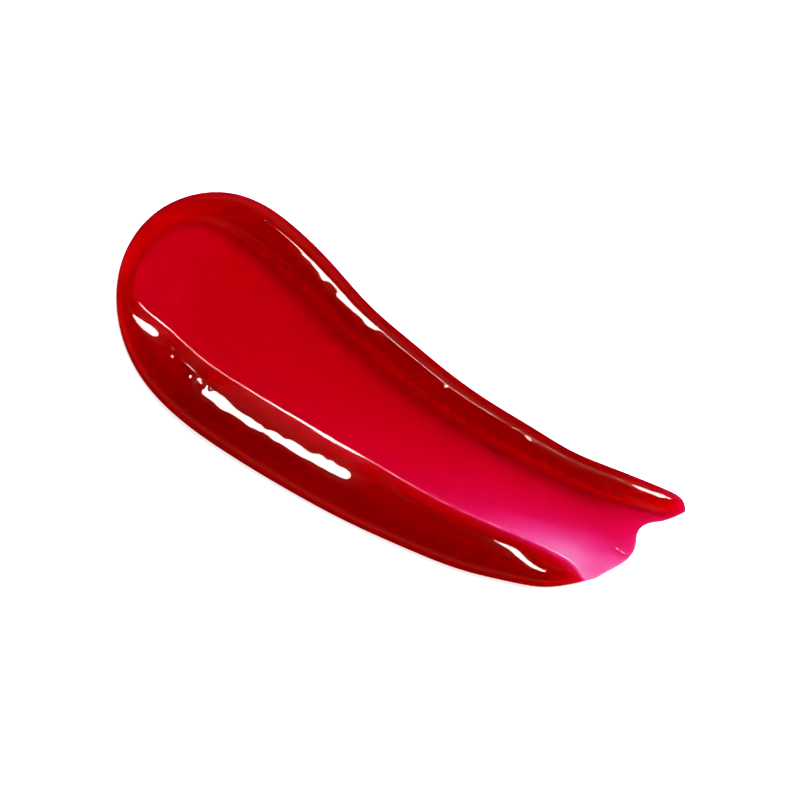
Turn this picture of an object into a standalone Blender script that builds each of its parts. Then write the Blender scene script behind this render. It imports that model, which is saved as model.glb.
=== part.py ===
"""A smear of lip gloss: one body of clear gel, drawn out in one stroke on a flat surface.

+X runs along the stroke, from the round head to the torn tail, +Y runs across it and
+Z is up, in metres. The origin is on the flat underside, at the middle of its box.
"""

import bpy
import numpy as np

MM = 0.001

# The smear's overall size
LENGTH = 36.0 * MM
WIDTH = 13.75 * MM
HEIGHT = 1.5 * MM  # of the lower bead, the higher of the two

TROUGH_FILM = 0.6 * MM  # the film between the beads, beside the upper bead and half way along
EDGE_RADIUS = 0.35 * MM  # how far in from the torn edge the film reaches its thickness
END_LENGTH = 2.5  # how far in from it a bead does, as a multiple of its height over the film

# Cells of the mesh round the outline, by stretch, and from the outline in to the spine, where
# the power sets how much the rings crowd to the outline
PRONG_CELLS = 8
SIDE_CELLS = 46
HEAD_CELLS = 24
CORNER_CELLS = 4
TORN_CELLS = 14
RINGS = 19
CROWDING = 1.7
RIM_CREASE = 60  # degrees between two faces from which their edge is drawn sharp

# The drawn outline, fitted to LENGTH x WIDTH. The smooth rim runs from the prong's tip along
# the upper side, round the head and back along the lower side to the corner of the torn edge.
RIM = (
    (18.0, 3.65), (17.6, 4.1), (16.5, 4.22), (15.0, 4.03), (13.0, 3.73), (10.5, 3.41), (8.0, 3.44),
    (5.0, 3.51), (2.0, 3.78), (-1.0, 4.28), (-4.0, 4.87), (-7.0, 5.84), (-10.0, 6.62),
    (-12.2, 6.86), (-14.3, 6.5), (-16.2, 5.3), (-17.5, 3.5), (-18.0, 0.9), (-17.5, -1.3),
    (-15.9, -3.7), (-13.4, -5.5), (-10.5, -6.4), (-7.0, -6.77), (-3.0, -6.86), (1.0, -6.75),
    (5.0, -6.36), (8.5, -5.8), (11.0, -5.07), (13.0, -4.3), (14.4, -3.28), (15.5, -2.24),
)
# The rim's points where its stretches meet: prong, upper side, head, lower side and corner
TAIL_UPPER, HEAD_UPPER, HEAD_MIDDLE, HEAD_LOWER, TAIL_LOWER = 4, 13, 17, 20, 28
TORN_EDGE = (
    (15.5, -2.24), (15.66, -1.92), (16.15, -1.12), (16.44, -0.5), (16.54, 0.05), (16.42, 0.6),
    (16.18, 1.3), (16.4, 1.9), (17.0, 2.42), (17.55, 3.0), (18.0, 3.65),
)
# The foot, where the beads and the head's rim meet the film inside them, run like the rim
FOOT = (
    (17.3, 2.95), (16.3, 2.65), (15.0, 2.4), (13.0, 2.1), (11.0, 1.95), (8.0, 1.7), (5.0, 1.65),
    (2.0, 1.8), (-1.0, 2.2), (-4.0, 2.8), (-7.0, 3.5), (-10.0, 4.15), (-12.5, 4.4), (-14.6, 4.2),
    (-16.0, 3.25), (-16.7, 1.8), (-16.9, 0.4), (-16.6, -0.95), (-16.0, -1.55), (-14.0, -2.02),
    (-12.0, -2.5), (-10.0, -2.82), (-8.0, -2.86), (-4.0, -2.86), (0.0, -2.9), (3.0, -3.0),
    (5.0, -2.95), (8.0, -2.7), (11.0, -2.35), (12.8, -2.15), (14.0, -2.25), (14.8, -2.75),
)
FOOT_TURN = 16  # the foot's point that is furthest round the head

# Along each side, by share of the stroke from the head: the bead's height as a share of HEIGHT,
# and where its crest runs as a share of the way from the rim to the foot
UPPER = (
    (0.0, 0.52, 0.5), (0.06, 0.64, 0.55), (0.11, 0.74, 0.66), (0.17, 0.83, 0.74), (0.24, 0.9, 0.76),
    (0.39, 0.95, 0.77), (0.47, 0.93, 0.77), (0.56, 0.91, 0.77), (0.8, 0.88, 0.76), (0.875, 0.78, 0.74),
    (0.92, 0.64, 0.65), (0.97, 0.46, 0.5), (1.0, 0.3, 0.5),
)
LOWER = (
    (0.0, 0.52, 0.5), (0.06, 0.58, 0.42), (0.11, 0.7, 0.4), (0.14, 0.84, 0.4), (0.17, 0.95, 0.4),
    (0.2, 1.0, 0.38), (0.36, 0.96, 0.38), (0.53, 0.92, 0.38), (0.64, 0.95, 0.36), (0.78, 0.94, 0.36),
    (0.85, 0.88, 0.36), (0.885, 0.62, 0.4), (0.9, 0.42, 0.4), (0.93, 0.16, 0.4),
)
# The film by share of the stroke, in shares of TROUGH_FILM: beside the upper foot and beside
# the lower foot
FILM = (
    (0.03, 0.8, 0.8), (0.17, 0.93, 0.8), (0.42, 1.0, 0.73), (0.56, 0.95, 0.63), (0.67, 0.87, 0.45),
    (0.75, 0.83, 0.3), (0.86, 0.78, 0.15), (0.96, 0.5, 0.12),
)


def spline(points, places):
    """A natural cubic spline through the points, at places counted in points from 0."""
    points = np.array(points, float)
    steps = np.linalg.norm(np.diff(points, axis=0), axis=1)
    knots = np.concatenate([[0.0], np.cumsum(steps)])
    count = len(points)
    system = np.eye(count)
    bends = np.zeros_like(points)
    slopes = np.diff(points, axis=0) / steps[:, None]
    for i in range(1, count - 1):
        system[i, i - 1:i + 2] = steps[i - 1], 2 * (steps[i - 1] + steps[i]), steps[i]
        bends[i] = 6 * (slopes[i] - slopes[i - 1])
    bends = np.linalg.solve(system, bends)
    at = np.interp(places, np.arange(count), knots)
    i = np.clip(np.searchsorted(knots, at, side="right") - 1, 0, count - 2)
    before = ((at - knots[i]) / steps[i])[:, None]
    after = 1 - before
    square = (steps[i] ** 2 / 6)[:, None]
    return (
        after * points[i]
        + before * points[i + 1]
        + square * ((after**3 - after) * bends[i] + (before**3 - before) * bends[i + 1])
    )


def evenly(curve, shares):
    """Points of a dense curve at the given shares of its length."""
    run = np.concatenate([[0.0], np.cumsum(np.linalg.norm(np.diff(curve, axis=0), axis=1))])
    return np.stack([np.interp(shares * run[-1], run, curve[:, k]) for k in (0, 1)], axis=1)


def outline():
    """The rim, the torn edge and the foot as dense curves, in metres, fitted to the smear's box."""
    rim, torn, foot = (
        spline(points, np.linspace(0, len(points) - 1, steps * (len(points) - 1) + 1))
        for points, steps in ((RIM, 60), (TORN_EDGE, 40), (FOOT, 50))
    )
    both = np.concatenate([rim, torn])
    low, high = both.min(axis=0), both.max(axis=0)
    fit = np.array([LENGTH, WIDTH]) / (high - low)
    middle = (low + high) / 2
    return (rim - middle) * fit, (torn - middle) * fit, (foot - middle) * fit


RIM_CURVE, TORN_CURVE, FOOT_CURVE = outline()


def nearest(curve, x, y):
    """Distance from each point to a dense curve, and the index of the curve's nearest point."""
    gap = np.hypot(x[:, None] - curve[:, 0], y[:, None] - curve[:, 1])
    index = gap.argmin(axis=1)
    return gap[np.arange(len(x)), index], index


def station(stations, place, column):
    """One column of a table of stations, at places that are shares of the stroke."""
    return np.interp(place, [s[0] for s in stations], [s[column] for s in stations])


def section(t, height, crest, base):
    """A bead's section, by the share t of the way from the rim to the foot: a quarter ellipse
    up to the crest, then the base plus (1 - b^1.6)^1.3 of the rest, where b goes from 0 at the
    crest to 1 at the foot."""
    out = np.clip(1 - t / crest, 0, 1)
    back = np.clip((t - crest) / (1 - crest), 0, 1)
    shoulder = height * np.sqrt(1 - out**2)
    fall = base + (height - base) * (1 - back**1.6) ** 1.3
    return np.where(t < crest, shoulder, fall)


def thickness(x, y):
    """Height of the gel's free surface over each point of the underside."""
    place = x / LENGTH + 0.5
    rim_gap, index = nearest(RIM_CURVE, x, y)
    foot_gap, _ = nearest(FOOT_CURVE, x, y)
    torn_gap, _ = nearest(TORN_CURVE, x, y)
    # The film thins evenly from the upper foot to the lower one
    turn = FOOT_TURN * (len(FOOT_CURVE) - 1) // (len(FOOT) - 1)
    upper, lower = FOOT_CURVE[turn::-1], FOOT_CURVE[turn:]
    upper_foot = np.interp(x, upper[:, 0], upper[:, 1])
    lower_foot = np.interp(x, lower[:, 0], lower[:, 1])
    inside = (y < upper_foot) & (y > lower_foot)
    down = np.clip((upper_foot - y) / np.maximum(upper_foot - lower_foot, TROUGH_FILM), 0, 1)
    film = TROUGH_FILM * ((1 - down) * station(FILM, place, 1) + down * station(FILM, place, 2))
    # Outside the foot stand the beads, each with the stations of its side of the rim
    along = RIM_CURVE[index, 0] / LENGTH + 0.5
    on_upper = index < HEAD_MIDDLE * (len(RIM_CURVE) - 1) / (len(RIM) - 1)
    height, crest = (
        np.where(on_upper, station(UPPER, along, column), station(LOWER, along, column))
        for column in (1, 2)
    )
    t = np.where(inside, 1.0, rim_gap / np.maximum(rim_gap + foot_gap, 0.001 * MM))
    depth = section(t, height * HEIGHT, crest, film)
    # Film and beads round down to the torn edge
    end = torn_gap / (EDGE_RADIUS + END_LENGTH * np.maximum(depth - film, 0))
    return depth * np.sqrt(1 - (1 - np.clip(end, 0, 1)) ** 2)


def rows():
    """The outline's points, all round from the prong's tip by the head, the spine's points from
    the tail to the head, and the number of the spine's point that each outline point's row of
    cells runs in to. The spine is half way between the sides, and the rows of the head and of
    the tail fan in to its ends."""
    dense = (len(RIM_CURVE) - 1) // (len(RIM) - 1)
    corners = (0, TAIL_UPPER, HEAD_UPPER, HEAD_LOWER, TAIL_LOWER, len(RIM) - 1)
    counts = (PRONG_CELLS, SIDE_CELLS, HEAD_CELLS, SIDE_CELLS, CORNER_CELLS)
    stretches = [
        evenly(RIM_CURVE[a * dense:b * dense + 1], np.linspace(0, 1, cells + 1))
        for a, b, cells in zip(corners, corners[1:], counts)
    ]
    stretches.append(evenly(TORN_CURVE, np.linspace(0, 1, TORN_CELLS + 1)))
    spine = (stretches[1] + stretches[3][::-1]) / 2
    along = np.arange(SIDE_CELLS)
    target = np.concatenate([
        np.zeros(PRONG_CELLS, int), along, np.full(HEAD_CELLS, SIDE_CELLS), SIDE_CELLS - along,
        np.zeros(CORNER_CELLS + TORN_CELLS, int),
    ])
    return np.concatenate([stretch[:-1] for stretch in stretches]), spine, target


def strip(outer, inner):
    """The cells between two closed rings of point numbers, each with its repeated points once."""
    quads = np.stack([outer, np.roll(outer, -1), np.roll(inner, -1), inner], axis=1)
    return [tuple(dict.fromkeys(quad)) for quad in quads.tolist()]


def gel_material():
    material = bpy.data.materials.new("gloss_gel")
    material.use_nodes = True
    shader = material.node_tree.nodes["Principled BSDF"]
    shader.inputs["Base Color"].default_value = (0.42, 0.0, 0.006, 1.0)
    shader.inputs["Roughness"].default_value = 0.05
    shader.inputs["Metallic"].default_value = 0.0
    return material


def gloss_smear():
    """The gel between its flat underside and its free surface, which meet at the outline."""
    rim, spine, target = rows()
    count = len(rim)
    share = ((np.arange(RINGS) / RINGS) ** CROWDING)[:, None, None]
    rings = (1 - share) * rim + share * spine[target]
    x, y = np.concatenate([rings.reshape(-1, 2), spine]).T
    z = thickness(x, y)
    z[:count] = 0
    points = np.concatenate([np.stack([x, y, z], axis=1), np.column_stack([spine, np.zeros(len(spine))])])

    spine_start = RINGS * count
    number = [*np.arange(spine_start).reshape(RINGS, count), spine_start + target]
    faces = [face for outer, inner in zip(number, number[1:]) for face in strip(outer, inner)]
    # The underside runs straight from the outline to its own spine
    faces += [face[::-1] for face in strip(number[0], spine_start + len(spine) + target)]
    mesh = bpy.data.meshes.new("gloss_smear")
    mesh.from_pydata(points.tolist(), [], faces)
    mesh.validate()
    mesh.shade_smooth()
    mesh.set_sharp_from_angle(angle=np.radians(RIM_CREASE))
    mesh.materials.append(gel_material())
    smear = bpy.data.objects.new("gloss_smear", mesh)
    bpy.context.scene.collection.objects.link(smear)
    return smear


for old in list(bpy.data.objects):
    bpy.data.objects.remove(old)
gloss_smear()
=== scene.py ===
"""Looks of the lip gloss smear: a fine mesh of the gel, its clear red material, and a plain studio."""

import bpy
import numpy as np
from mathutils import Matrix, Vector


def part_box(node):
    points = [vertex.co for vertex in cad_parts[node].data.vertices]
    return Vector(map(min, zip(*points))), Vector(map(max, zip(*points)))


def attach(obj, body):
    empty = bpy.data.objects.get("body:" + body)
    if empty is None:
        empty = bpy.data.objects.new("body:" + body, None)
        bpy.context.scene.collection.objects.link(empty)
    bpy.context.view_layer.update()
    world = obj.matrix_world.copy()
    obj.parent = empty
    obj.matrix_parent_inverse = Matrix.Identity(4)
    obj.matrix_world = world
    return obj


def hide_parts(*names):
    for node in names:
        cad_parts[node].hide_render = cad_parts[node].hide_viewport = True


MM = 0.001
NO_LENGTH = 1e-9  # added to a length so that nothing is divided by zero
BATCH = 500  # points that are measured against a curve at once

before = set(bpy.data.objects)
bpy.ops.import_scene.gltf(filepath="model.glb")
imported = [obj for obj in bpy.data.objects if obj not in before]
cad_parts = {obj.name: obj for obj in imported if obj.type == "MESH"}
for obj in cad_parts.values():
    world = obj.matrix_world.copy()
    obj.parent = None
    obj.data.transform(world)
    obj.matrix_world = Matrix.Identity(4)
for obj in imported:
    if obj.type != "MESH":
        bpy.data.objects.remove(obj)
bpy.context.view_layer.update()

LOW, HIGH = (np.array(corner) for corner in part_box("gloss_smear"))
TOP = HIGH[2] - LOW[2]

EDGE_RADIUS = 0.3 * MM  # how far in from the torn edge the film reaches its thickness
# How much farther in the raised rim does, as a multiple of its height over the film
END_LENGTH = 2.5

# Cells of the mesh round the outline, by stretch, and from the outline in to the spine, where
# the power sets how much the rings crowd to the outline
PRONG_CELLS = 56
SIDE_CELLS = 210
HEAD_CELLS = 120
CORNER_CELLS = 24
TORN_CELLS = 84
RINGS = 124
CROWDING = 1.55
SHARP = 70  # degrees between two faces from which their edge is drawn sharp

# Steps of each dense curve between two drawn points, and the points of the rim that the moving
# mean of its sizes spans
RIM_DENSE, TORN_DENSE, FOOT_DENSE = 60, 40, 50
EVENED = 61

# The drawn outline, in millimetres: the smooth rim from the prong's tip round the head to the
# corner of the torn edge, and the torn edge back to the prong
RIM = (
    (18.0, 3.65), (17.6, 4.1), (16.5, 4.22), (15.0, 4.03), (13.0, 3.73), (10.5, 3.41), (8.0, 3.44),
    (5.0, 3.51), (2.0, 3.78), (-1.0, 4.28), (-4.0, 4.87), (-7.0, 5.84), (-10.0, 6.62),
    (-12.2, 6.86), (-14.3, 6.5), (-16.2, 5.3), (-17.5, 3.5), (-18.0, 0.9), (-17.5, -1.3),
    (-15.9, -3.7), (-13.4, -5.5), (-10.5, -6.4), (-7.0, -6.77), (-3.0, -6.86), (1.0, -6.75),
    (5.0, -6.36), (8.5, -5.8), (11.0, -5.07), (13.0, -4.3), (14.4, -3.28), (15.5, -2.24),
)
TORN_EDGE = (
    (15.5, -2.24), (15.66, -1.92), (16.15, -1.12), (16.44, -0.5), (16.54, 0.05), (16.42, 0.6),
    (16.18, 1.3), (16.4, 1.9), (17.0, 2.42), (17.55, 3.0), (18.0, 3.65),
)
# The rim's points where its stretches meet: prong, upper side, head, lower side and corner
TAIL_UPPER, HEAD_UPPER, HEAD_MIDDLE, HEAD_LOWER, TAIL_LOWER = 4, 13, 17, 20, 28

# The line where the raised rim meets the film inside it, from the prong round the head to the tail
FOOT = (
    (17.3, 2.95), (16.3, 2.65), (15.0, 2.4), (13.0, 2.1), (11.0, 1.95), (8.0, 1.7), (5.0, 1.65),
    (2.0, 1.8), (-1.0, 2.2), (-4.0, 2.8), (-7.0, 3.5), (-10.0, 4.15), (-12.5, 4.4), (-14.6, 4.2),
    (-16.0, 3.25), (-16.7, 1.8), (-16.9, 0.4), (-16.6, -0.95), (-16.0, -1.55), (-14.0, -2.02),
    (-12.0, -2.5), (-10.0, -2.82), (-8.0, -2.86), (-4.0, -2.86), (0.0, -2.9), (3.0, -3.0),
    (5.0, -2.95), (8.0, -2.7), (11.0, -2.35), (12.8, -2.15), (14.0, -2.25), (14.8, -2.75),
)
FOOT_TURN = 16  # the foot's point that is furthest round the head

# Stations along the raised rim, by x in millimetres: its height as a share of the gel's, where
# its crest runs as a share of the way from the rim to the foot, how softly it meets the film,
# and how far the side that faces +Y is a flat roof with a steep step instead of a round fall
UPPER = (
    (-18.0, 0.52, 0.5, 1.3, 0.5), (-16.0, 0.64, 0.55, 1.3, 1), (-14.0, 0.74, 0.66, 1.3, 1),
    (-12.0, 0.83, 0.74, 1.3, 1), (-9.9, 0.88, 0.76, 1.3, 1), (-9.2, 0.9, 0.76, 1.3, 0.4),
    (-8.0, 0.915, 0.76, 1.3, 0.35), (-6.0, 0.93, 0.77, 1.3, 0.4), (-4.0, 0.95, 0.77, 1.3, 0.4),
    (-2.9, 0.95, 0.77, 1.3, 0.6), (-1.6, 0.93, 0.77, 1.3, 1), (2.0, 0.91, 0.77, 1.3, 1),
    (8.0, 0.92, 0.76, 1.3, 1), (11.0, 0.91, 0.76, 1.3, 1), (13.3, 0.87, 0.74, 1.3, 1),
    (15.0, 0.64, 0.65, 1.3, 0.5), (17.0, 0.46, 0.5, 1.3, 0.2), (18.0, 0.3, 0.5, 1.3, 0),
)
LOWER = (
    (-18.0, 0.52, 0.5, 1.3, 0), (-17.2, 0.57, 0.45, 1.3, 0), (-16.0, 0.64, 0.42, 1.2, 0),
    (-14.8, 0.71, 0.4, 1.0, 0.2), (-14.2, 0.75, 0.4, 1.0, 0.8), (-13.4, 0.82, 0.4, 1.0, 1),
    (-12.0, 0.93, 0.4, 1.0, 1), (-11.3, 0.98, 0.38, 1.0, 0.7), (-10.7, 1.0, 0.38, 1.0, 0),
    (-9.2, 0.992, 0.38, 1.02, 0), (-7.8, 0.985, 0.38, 1.22, 0), (-5.0, 0.965, 0.38, 1.25, 0),
    (-1.0, 0.9, 0.38, 1.25, 0), (1.0, 0.865, 0.37, 1.25, 0.2), (2.0, 0.87, 0.36, 1.0, 0.8),
    (3.0, 0.9, 0.36, 1.0, 0.9), (5.0, 0.93, 0.36, 1.0, 0.9), (8.0, 0.94, 0.36, 1.0, 0.9),
    (10.0, 0.94, 0.36, 1.0, 0.8), (11.6, 0.92, 0.36, 1.0, 0.6), (12.6, 0.88, 0.36, 1.1, 0.2),
    (13.2, 0.8, 0.38, 1.25, 0), (13.8, 0.62, 0.4, 1.3, 0), (14.3, 0.42, 0.4, 1.3, 0),
    (14.9, 0.22, 0.4, 1.3, 0), (15.5, 0.08, 0.4, 1.3, 0),
)
# Thickness of the film, by x in millimetres: beside the upper foot and beside the lower one
FILM = (
    (-17.0, 0.48, 0.48), (-15.0, 0.46, 0.44), (-12.0, 0.55, 0.48), (-3.0, 0.58, 0.4), (2.0, 0.53, 0.33),
    (6.0, 0.47, 0.24), (9.0, 0.47, 0.17), (13.0, 0.45, 0.065), (16.5, 0.3, 0.05),
)
FILM_BEND = 0.9  # the power that bends the blend between the two
FILM_SPAN = 0.5 * MM  # the least way across that it is spread over

# A strip of thinner film in the tail, below a line that is given by x and y in millimetres. Each
# pair is where the film is still full and where it is thinner, in millimetres.
THIN_LINE = (
    (5.0, -2.9), (7.0, -2.6), (9.0, -1.5), (11.0, -0.8), (13.0, -0.2), (16.0, 0.0), (17.0, 0.1),
)
THIN_UPPER = (0.12, -0.3)  # above the line, at the strip's upper edge
THIN_LOWER = (-2.0, -1.1)  # above the line, at its lower edge
THIN_START = (6.5, 9.5)  # by x, at its end towards the head
THINNER = 0.03 * MM

# The round section: the power of its fall from the crest, and how softly it meets the film
# beside a stepped side
FALL_BEND = 1.6
ROUND_SOFT = 1.3
# The stepped section, outside the crest and inside it: where the flat roof meets the steep step,
# as a share of the way from the crest, the height there as a share, and the powers of the two
OUTER_STEP = (0.58, 0.9, 1.3, 0.45)
INNER_STEP = (0.62, 0.85, 1.5, 1.0)

# Smooth noise of the skin: its height, its steps along and across the stroke, and its seed. The
# lengths are in millimetres.
LONG_WAVES = (0.013, 2.2, 1.0, 1)
SHORT_WAVES = (0.008, 0.6, 0.5, 2)
STREAKS = (0.006, 7.0, 0.34, 3)
FINE_STREAKS = (0.0036, 4.0, 0.17, 4)
SWELLS = (0.014, 4.5, 1.6, 5)
LATTICE = 256  # cells of the noise before it repeats

# How strong it is: short waves on the upper side, the head's lower side and the rest of the
# lower side, all waves in the tail, and streaks on the film, on the raised rim and on the prong
SHORT_UPPER, SHORT_HEAD, SHORT_LOWER = 1.5, 0.3, 0.8
WAVES_TAIL = 0.25
STREAKS_FILM, STREAKS_RIM, STREAKS_PRONG = 1.0, 0.35, 5
# Where it changes, by the x in millimetres where the change starts and ends
HEAD_END = (-13.0, -10.0)  # the lower side's short waves grow
CALM = (-2.5, -0.5)  # all waves calm down
STREAKED = (3.0, 11.0)  # streaks set in
SWOLLEN = (9.0, 4.0)  # swells set in, towards the head
PRONG_START = (12.0, 14.5)  # the prong's own streaks set in
PRONG_ABOVE = 2.0  # the y in millimetres that the prong lies above
# Waves fade out towards the rim and the foot, over these shares of the way between them
RIM_FADE, FOOT_FADE = (0, 0.12), (0.98, 0.75)

# A hairline crease in the tail's film, as x, y, half length, half width and height in millimetres
CREASE = (15.8, -0.35, 0.7, 0.11, 0.12)
# Bumps over tiny bubbles in the skin: x, y, radius and height in millimetres
BUBBLES = (
    (-12.75, -2.25, 0.14, 0.06), (-12.85, -3.0, 0.16, 0.07), (-12.6, -3.55, 0.2, 0.08),
    (-11.8, -2.7, 0.18, 0.08), (-11.9, 6.15, 0.13, 0.03), (-11.3, 5.9, 0.12, 0.03),
    (-11.6, 5.5, 0.15, 0.04), (-10.9, 5.75, 0.12, 0.03), (-10.7, 5.3, 0.14, 0.04),
    (-11.0, -4.1, 0.22, 0.05), (-10.2, -4.0, 0.3, 0.06), (-9.6, -3.95, 0.22, 0.05),
    (2.15, 2.85, 0.2, 0.07), (6.6, 2.7, 0.2, 0.1), (7.6, 2.72, 0.14, 0.07), (7.95, 2.68, 0.1, 0.05),
    (-1.5, -4.1, 0.1, 0.03), (1.2, -4.9, 0.1, 0.03), (5.0, -4.4, 0.09, 0.02), (8.6, -4.1, 0.1, 0.02),
)


def spline(points, dense):
    """Natural cubic spline: between two points each coordinate is a cubic whose bend runs
    straight from one point's to the next's, and the bends make the slopes match. Each stretch
    between two points is cut into as many steps as dense says."""
    points = np.array(points, float)
    steps = np.linalg.norm(np.diff(points, axis=0), axis=1)
    knots = np.concatenate([[0.0], np.cumsum(steps)])
    count = len(points)
    system = np.eye(count)
    bends = np.zeros_like(points)
    slopes = np.diff(points, axis=0) / steps[:, None]
    for i in range(1, count - 1):
        system[i, i - 1:i + 2] = steps[i - 1], 2 * (steps[i - 1] + steps[i]), steps[i]
        bends[i] = 6 * (slopes[i] - slopes[i - 1])
    bends = np.linalg.solve(system, bends)
    at = np.interp(np.linspace(0, count - 1, (count - 1) * dense + 1), np.arange(count), knots)
    i = np.clip(np.searchsorted(knots, at, side="right") - 1, 0, count - 2)
    before = ((at - knots[i]) / steps[i])[:, None]
    after = 1 - before
    square = (steps[i] ** 2 / 6)[:, None]
    return (
        after * points[i]
        + before * points[i + 1]
        + square * ((after**3 - after) * bends[i] + (before**3 - before) * bends[i + 1])
    )


def evenly(curve, shares):
    """Points of a dense curve at the given shares of its length, which is the sum of its steps."""
    run = np.concatenate([[0.0], np.cumsum(np.linalg.norm(np.diff(curve, axis=0), axis=1))])
    return np.stack([np.interp(shares * run[-1], run, curve[:, k]) for k in (0, 1)], axis=1)


def smooth_step(low, high, value):
    """0 below low and 1 above high, and three t squared less two t cubed between."""
    t = np.clip((value - low) / (high - low), 0, 1)
    return t * t * (3 - 2 * t)


def outline():
    """The rim, the torn edge and the foot as dense curves, in metres. They are moved and
    stretched so that the rim and the torn edge fill the node's box."""
    rim, torn, foot = spline(RIM, RIM_DENSE), spline(TORN_EDGE, TORN_DENSE), spline(FOOT, FOOT_DENSE)
    both = np.concatenate([rim, torn])
    low, high = both.min(axis=0), both.max(axis=0)
    fit = (HIGH - LOW)[:2] / (high - low)
    middle = (low + high) / 2
    return (rim - middle) * fit, (torn - middle) * fit, (foot - middle) * fit


RIM_CURVE, TORN_CURVE, FOOT_CURVE = outline()


def nearest(curve, points):
    """Distance from each point to a curve, and the place of its foot, counted in curve points.

    The closest of the curve's points comes first, then the foot on each of the two runs there."""
    index = np.concatenate([
        ((some[:, None] - curve) ** 2).sum(axis=2).argmin(axis=1)
        for some in np.array_split(points, max(1, len(points) // BATCH))
    ])
    best = np.full(len(points), np.inf)
    place = index.astype(float)
    for start in (np.clip(index - 1, 0, len(curve) - 2), np.clip(index, 0, len(curve) - 2)):
        run = curve[start + 1] - curve[start]
        t = np.clip(((points - curve[start]) * run).sum(axis=1) / (run**2).sum(axis=1), 0, 1)
        gap = np.linalg.norm(points - curve[start] - t[:, None] * run, axis=1)
        place = np.where(gap < best, start + t, place)
        best = np.minimum(gap, best)
    return best, place


def along_rim(column):
    """One column of UPPER and LOWER at each point of the rim, evened by a moving mean."""
    x = RIM_CURVE[:, 0] / MM
    middle = HEAD_MIDDLE * RIM_DENSE
    sizes = np.empty(len(RIM_CURVE))
    for half, stations in ((slice(0, middle), UPPER), (slice(middle, None), LOWER)):
        sizes[half] = np.interp(x[half], [s[0] for s in stations], [s[column] for s in stations])
    window = np.hanning(EVENED)
    padded = np.pad(sizes, len(window) // 2, mode="edge")
    return np.convolve(padded, window / window.sum(), mode="valid")


def section(t, height, crest, soft, base):
    """The raised rim's section, by the share t of the way from the rim to the foot: a quarter
    ellipse up to the crest, then the base plus the share (1 - b^bend)^soft of the rest, where b
    goes from 0 at the crest to 1 at the foot."""
    out = np.clip(1 - t / crest, 0, 1)
    back = np.clip((t - crest) / (1 - crest), 0, 1)
    shoulder = height * np.sqrt(1 - out**2)
    fall = base + (height - base) * (1 - back**FALL_BEND) ** soft
    return np.where(t < crest, shoulder, fall)


def roof_and_step(away, corner, level, roof_bend, step_bend):
    """1 at the crest and 0 at the far end, by the share away of the way between: the lower of a
    roof, 1 - (1 - level) (away / corner)^bend, and a step, level ((1 - away) / (1 - corner))^bend."""
    roof = 1 - (1 - level) * (away / corner) ** roof_bend
    step = level * ((1 - away) / (1 - corner)) ** step_bend
    return np.minimum(roof, step)


def stepped(t, height, crest, base, lower):
    """The same section with the side that faces +Y made of a flat roof and a steep step, whose
    meeting line is the only place that tilts as the round side does. That side is outside the
    crest on the upper side of the stroke, and inside it on the lower side."""
    out = np.clip(1 - t / crest, 0, 1)
    back = np.clip((t - crest) / (1 - crest), 0, 1)
    shoulder = height * roof_and_step(out, *OUTER_STEP)
    fall = base + (height - base) * roof_and_step(back, *INNER_STEP)
    faces_y = (t < crest) != lower
    return np.where(faces_y, np.where(lower, fall, shoulder), section(t, height, crest, ROUND_SOFT, base))


def noise(x, y, height, along, across, seed):
    """Smooth noise up to the height either way: seeded random numbers on a lattice of the given
    steps, each cell blended from its corners by smooth steps."""
    lattice = height * np.random.default_rng(seed).uniform(-1, 1, (LATTICE, LATTICE))
    x, y = x / along + LATTICE / 4, y / across + LATTICE / 4
    i, j = np.floor(x).astype(int), np.floor(y).astype(int)
    u, v = smooth_step(0, 1, x - i), smooth_step(0, 1, y - j)
    left, right, low, high = i % LATTICE, (i + 1) % LATTICE, j % LATTICE, (j + 1) % LATTICE
    near = lattice[left, low] * (1 - u) + lattice[right, low] * u
    far = lattice[left, high] * (1 - u) + lattice[right, high] * u
    return near * (1 - v) + far * v


def bump(x, y, middle_x, middle_y, length, width, height):
    """A rounded rise of the height times e^(-2 d^2), where d is the distance from its middle, as
    a share of the half length along the stroke and of the half width across it."""
    return height * np.exp(-2 * (((x - middle_x) / length) ** 2 + ((y - middle_y) / width) ** 2))


def ripples(points, t, inside):
    """Uneven drag of the applicator, in metres: a sum of noises, each times its strength at the
    place, and of bumps. Waves run along the raised rim, streaks along the tail and the prong,
    and swells over the film."""
    x, y = points.T / MM
    on_rim = np.where(inside, 0, smooth_step(*RIM_FADE, t) * smooth_step(*FOOT_FADE, t))
    calm = 1 - (1 - WAVES_TAIL) * smooth_step(*CALM, x)
    lower = SHORT_HEAD + (SHORT_LOWER - SHORT_HEAD) * smooth_step(*HEAD_END, x)
    waves = noise(x, y, *LONG_WAVES) + np.where(y > 0, SHORT_UPPER, lower) * noise(x, y, *SHORT_WAVES)
    on_prong = smooth_step(*PRONG_START, x) * (y > PRONG_ABOVE)
    drawn = smooth_step(*STREAKED, x) * np.where(inside, STREAKS_FILM, STREAKS_RIM)
    drawn += STREAKS_PRONG * on_prong
    streaks = noise(x, y, *STREAKS) + noise(x, y, *FINE_STREAKS)
    swells = np.where(inside, smooth_step(*SWOLLEN, x), 0) * noise(x, y, *SWELLS)
    rise = waves * on_rim * calm + streaks * drawn + swells + bump(x, y, *CREASE)
    for middle_x, middle_y, radius, height in BUBBLES:
        rise += bump(x, y, middle_x, middle_y, radius, radius, height)
    return rise * MM


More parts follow.
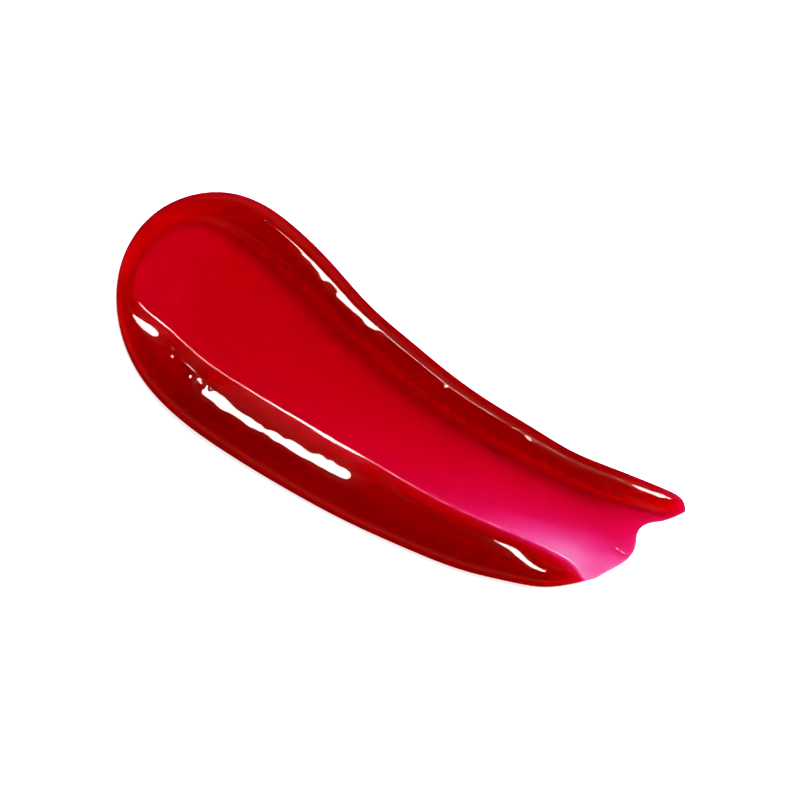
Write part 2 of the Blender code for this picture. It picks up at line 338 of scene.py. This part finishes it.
def thickness(points):
    """Height of the gel's free surface over each point of its underside. Between the feet it is
    the film, blended across from its upper thickness to its lower one, less the thin strip. From
    the foot out to the rim it is the raised rim's section, by the share of the way between them.
    The ripples are added, and a quarter ellipse takes the sum down to the torn edge."""
    x, y = points.T
    rim_gap, at = nearest(RIM_CURVE, points)
    foot_gap, _ = nearest(FOOT_CURVE, points)
    torn_gap, _ = nearest(TORN_CURVE, points)
    turn = FOOT_TURN * FOOT_DENSE
    upper, lower = FOOT_CURVE[turn::-1], FOOT_CURVE[turn:]
    upper_foot, lower_foot = (np.interp(x, side[:, 0], side[:, 1]) for side in (upper, lower))
    inside = (y < upper_foot) & (y > lower_foot)
    # The film, from beside the upper foot to beside the lower one
    film_x, film_upper, film_lower = np.array(FILM).T * MM
    down = np.clip((upper_foot - y) / np.maximum(upper_foot - lower_foot, FILM_SPAN), 0, 1) ** FILM_BEND
    film = (1 - down) * np.interp(x, film_x, film_upper) + down * np.interp(x, film_x, film_lower)
    line_x, line_y = np.array(THIN_LINE).T * MM
    above = (y - np.interp(x, line_x, line_y)) / MM
    thin = smooth_step(*THIN_UPPER, above) * smooth_step(*THIN_LOWER, above)
    thin *= smooth_step(*THIN_START, x / MM)
    film = film - np.where(inside, THINNER * thin, 0)
    # The raised rim outside the foot
    t = np.where(inside, 1.0, rim_gap / (rim_gap + foot_gap + NO_LENGTH))
    steps = np.arange(len(RIM_CURVE))
    height, crest, soft, step = (np.interp(at, steps, along_rim(column)) for column in (1, 2, 3, 4))
    height = height * TOP
    depth = (1 - step) * section(t, height, crest, soft, film)
    depth += step * stepped(t, height, crest, film, at > HEAD_MIDDLE * RIM_DENSE)
    # Both round down to the torn edge
    end = np.clip(torn_gap / (EDGE_RADIUS + END_LENGTH * np.maximum(depth - film, 0)), 0, 1)
    depth = (depth + ripples(points, t, inside)) * np.sqrt(1 - (1 - end) ** 2)
    return np.minimum(depth, TOP)


def rows():
    """The outline's points, all round from the prong's tip by the head, the spine's points from
    the tail to the head, and the number of the spine's point that each outline point's row of
    cells runs in to. The spine is half way between the sides, and the rows of the head and of
    the tail fan in to its ends."""
    corners = (0, TAIL_UPPER, HEAD_UPPER, HEAD_LOWER, TAIL_LOWER, len(RIM) - 1)
    counts = (PRONG_CELLS, SIDE_CELLS, HEAD_CELLS, SIDE_CELLS, CORNER_CELLS)
    stretches = [
        evenly(RIM_CURVE[a * RIM_DENSE:b * RIM_DENSE + 1], np.linspace(0, 1, cells + 1))
        for a, b, cells in zip(corners, corners[1:], counts)
    ]
    stretches.append(evenly(TORN_CURVE, np.linspace(0, 1, TORN_CELLS + 1)))
    spine = (stretches[1] + stretches[3][::-1]) / 2
    along = np.arange(SIDE_CELLS)
    target = np.concatenate([
        np.zeros(PRONG_CELLS, int), along, np.full(HEAD_CELLS, SIDE_CELLS), SIDE_CELLS - along,
        np.zeros(CORNER_CELLS + TORN_CELLS, int),
    ])
    return np.concatenate([stretch[:-1] for stretch in stretches]), spine, target


def strip(outer, inner):
    """The cells between two closed rings of point numbers, each with its repeated points once."""
    quads = np.stack([outer, np.roll(outer, -1), np.roll(inner, -1), inner], axis=1)
    return [tuple(dict.fromkeys(quad)) for quad in quads.tolist()]


def gel_mesh():
    """The free surface over rings of points from the outline in to the spine, closed by a flat
    underside. A ring's points are the blend of the outline's and the spine's by its share, which
    is its number over the count of rings to a power."""
    rim, spine, target = rows()
    count = len(rim)
    share = ((np.arange(RINGS) / RINGS) ** CROWDING)[:, None, None]
    flat = np.concatenate([((1 - share) * rim + share * spine[target]).reshape(-1, 2), spine])
    z = thickness(flat)
    z[:count] = 0
    spine_start = RINGS * count
    number = [*np.arange(spine_start).reshape(RINGS, count), spine_start + target]
    faces = [face for outer, inner in zip(number, number[1:]) for face in strip(outer, inner)]
    faces += [face[::-1] for face in strip(number[0], spine_start + len(spine) + target)]
    points = np.concatenate([np.column_stack([flat, z]), np.column_stack([spine, np.zeros(len(spine))])])
    mesh = bpy.data.meshes.new("gloss_gel_body")
    mesh.from_pydata(points.tolist(), [], faces)
    mesh.shade_smooth()
    mesh.set_sharp_from_angle(angle=np.radians(SHARP))
    return mesh


class Wire:
    """A shader socket. Sums, differences, products and powers of wires add Math nodes."""

    def __init__(self, tree, socket):
        self.tree, self.socket = tree, socket

    @classmethod
    def node(cls, tree, kind, settings=None, values=None, output=0):
        """A node of any kind: its settings first, then the values or wires of its sockets."""
        made = tree.nodes.new("ShaderNode" + kind)
        for name, setting in (settings or {}).items():
            setattr(made, name, setting)
        for name, value in (values or {}).items():
            if isinstance(value, Wire):
                tree.links.new(value.socket, made.inputs[name])
            else:
                made.inputs[name].default_value = value
        return cls(tree, made.outputs[output])

    def maths(self, operation, *others):
        """A Math node on this wire and the others, in their order."""
        values = dict(enumerate((self, *others)))
        return self.node(self.tree, "Math", {"operation": operation}, values)

    def __add__(self, other):
        return self.maths("ADD", other)

    def __mul__(self, other):
        return self.maths("MULTIPLY", other)

    def __pow__(self, power):
        return self.maths("POWER", power)

    def __rsub__(self, other):
        return (self * -1.0) + other

    __radd__ = __add__
    __rmul__ = __mul__

    def exp(self):
        """e to the power of this wire."""
        return self.maths("EXPONENT")


# What a millimetre of gel takes from red, green and blue light as it goes straight through
LOSS = (0.57, 11.5, 4.9)
# The share of it that is in the surface's colour, which shows the depth in any viewer
PAINTED = 0.12
BENDING = 1.47  # the gel's refractive index
# The skin's roughness where it is smoothest, what streaks and grain add to it, and the most
SMOOTHEST, ROUGHENED, ROUGHEST = 0.008, 0.05, 0.026
STREAK_SCALE = (300, 6500, 300)  # streaks to a metre: few along the stroke, many across it
GRAIN_SCALE = 2200.0  # grains to a metre
# What share of the skin's fine relief the streaks and the grain make, and its height
STREAK_RELIEF, GRAIN_RELIEF = 0.7, 0.3
RELIEF = 0.004 * MM


def gel_material():
    """Clear gel: light is lost in its depth, green the fastest, then blue, and red the least.

    The surface's colour is e to the power of minus twice the depth times the painted share of
    the loss, as light goes in and out. The volume takes the rest of the loss. Fine streaks along
    the stroke and a faint grain roughen and ripple the skin."""
    material = bpy.data.materials.new("clear_red_gel")
    material.use_nodes = True
    tree = material.node_tree
    shader = tree.nodes["Principled BSDF"]
    shader.inputs["IOR"].default_value = BENDING
    shader.inputs["Transmission Weight"].default_value = 1.0
    place = Wire.node(tree, "TexCoord", output="Object")
    z = Wire.node(tree, "SeparateXYZ", values={"Vector": place}, output="Z")
    bands = [(z * (-2 * PAINTED * loss / MM)).exp() for loss in LOSS]
    colour = Wire.node(tree, "CombineColor", values=dict(zip(("Red", "Green", "Blue"), bands)))
    tree.links.new(colour.socket, shader.inputs["Base Color"])
    drawn = Wire.node(tree, "Mapping", values={"Vector": place, "Scale": STREAK_SCALE})
    streak = Wire.node(tree, "TexNoise", values={"Vector": drawn, "Scale": 1.0, "Detail": 3.0})
    grain = Wire.node(tree, "TexNoise", values={"Vector": place, "Scale": GRAIN_SCALE, "Detail": 2.0})
    rough = (SMOOTHEST + ROUGHENED * (streak * grain)).maths("MINIMUM", ROUGHEST)
    tree.links.new(rough.socket, shader.inputs["Roughness"])
    relief = Wire.node(tree, "Bump", values={
        "Height": streak * STREAK_RELIEF + grain * GRAIN_RELIEF, "Strength": 0.15, "Distance": RELIEF,
    })
    tree.links.new(relief.socket, shader.inputs["Normal"])
    lost = np.array(LOSS) * (1 - PAINTED) / MM
    depth = Wire.node(tree, "VolumeAbsorption", values={
        "Color": (*(1 - lost / lost.max()), 1), "Density": float(lost.max()),
    })
    tree.links.new(depth.socket, tree.nodes["Material Output"].inputs["Volume"])
    return material


def gel():
    """The smear of gel, in the place of the CAD's plain one."""
    mesh = gel_mesh()
    mesh.materials.append(gel_material())
    body = bpy.data.objects.new("gloss_gel_body", mesh)
    bpy.context.scene.collection.objects.link(body)
    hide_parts("gloss_smear")
    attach(body, "root")
    return body


PALE = (0.9, 0.9, 0.9, 1)
FLOOR_HALF = 6.0  # metres from its middle to its sides
# Both lie a hair over the gel's underside, and the patch over the floor
FLOOR_RISE, PATCH_RISE = 0.004 * MM, 0.012 * MM


def plain_sheet(name, corners, rise, glow):
    """A flat pale face at the given height, which shines by itself as much as glow says."""
    mesh = bpy.data.meshes.new(name)
    mesh.from_pydata([(x, y, rise) for x, y in corners], [], [tuple(range(len(corners)))])
    material = bpy.data.materials.new(name)
    material.use_nodes = True
    shader = material.node_tree.nodes["Principled BSDF"]
    shader.inputs["Base Color"].default_value = PALE
    shader.inputs["Roughness"].default_value = 1.0
    shader.inputs["Specular IOR Level"].default_value = 0.0
    shader.inputs["Emission Color"].default_value = (1, 1, 1, 1)
    shader.inputs["Emission Strength"].default_value = glow
    mesh.materials.append(material)
    sheet = bpy.data.objects.new(name, mesh)
    bpy.context.scene.collection.objects.link(sheet)
    sheet.visible_glossy = False
    return sheet


def floor():
    """A backlit pale floor, and the dull patch of it that the gel is stuck to."""
    square = [(FLOOR_HALF * x, FLOOR_HALF * y) for x, y in ((-1, -1), (1, -1), (1, 1), (-1, 1))]
    plain_sheet("floor", square, FLOOR_RISE, glow=0.75).visible_diffuse = False
    ring = np.concatenate([RIM_CURVE[:-1], TORN_CURVE[:-1]])[::-1]
    plain_sheet("patch", ring.tolist(), PATCH_RISE, glow=0.0)


def lamp(name, azimuth, zenith, spread, strength, tint=(1, 1, 1)):
    """A softbox at infinity: a sun lamp whose disc is spread degrees across. Its place is given
    in degrees round from +X and down from straight above."""
    light = bpy.data.lights.new(name, "SUN")
    light.angle = np.radians(spread)
    light.energy = strength
    light.color = tint
    box = bpy.data.objects.new(name, light)
    box.rotation_euler = (0, np.radians(zenith), np.radians(azimuth))
    bpy.context.scene.collection.objects.link(box)
    return box


# Radiance of the even fill, and of the glow near the horizon that only the gel's skin mirrors
FILL = 0.14
GLOW = 0.2
GLOW_TOP = 0.4  # sine of the elevation at which the glow has gone


def studio():
    """A soft key up the +Y side that lights the gel's depth, the small bright box in it that
    the surface mirrors, and a weak even fill."""
    soft = lamp("soft_key", azimuth=80, zenith=43, spread=36, strength=8.3)
    soft.visible_glossy = False
    bright = lamp("bright_key", azimuth=80.2, zenith=43, spread=16, strength=1.9, tint=(1.0, 0.96, 0.9))
    bright.visible_diffuse = False
    bright.visible_transmission = False
    world = bpy.data.worlds.new("studio")
    bpy.context.scene.world = world
    world.use_nodes = True
    tree = world.node_tree
    seen, bounced, spread = (
        Wire.node(tree, "LightPath", output="Is %s Ray" % kind)
        for kind in ("Camera", "Reflection", "Diffuse")
    )
    up = Wire.node(tree, "TexCoord", output="Generated")
    rise = Wire.node(tree, "SeparateXYZ", values={"Vector": up}, output="Z")
    low = (1 - rise.maths("ABSOLUTE") * (1 / GLOW_TOP)).maths("MAXIMUM", 0.0) ** 2.0
    mirrored = bounced * (1 - spread)
    light = mirrored * low * GLOW + (1 - mirrored) * FILL
    light = seen + (1 - seen) * light
    tree.links.new(light.socket, tree.nodes["Background"].inputs["Color"])


VIEW = 46.74 * MM  # how much of the floor the camera sees from side to side
AIM = (0.278 * MM, 0.959 * MM)  # the point of the floor under it
TURN = 30  # degrees that it is turned, so that the stroke runs down to the right


def camera():
    """A long lens that looks straight down, as high as the view times the focal length over the
    sensor's width."""
    lens = bpy.data.cameras.new("camera")
    lens.lens = 300
    lens.clip_start = MM
    eye = bpy.data.objects.new("camera", lens)
    eye.location = (*AIM, VIEW * lens.lens / lens.sensor_width)
    eye.rotation_euler = (0, 0, np.radians(TURN))
    bpy.context.scene.collection.objects.link(eye)
    bpy.context.scene.camera = eye


camera()
gel()
floor()
studio()
bpy.context.scene.view_settings.view_transform = "Standard"
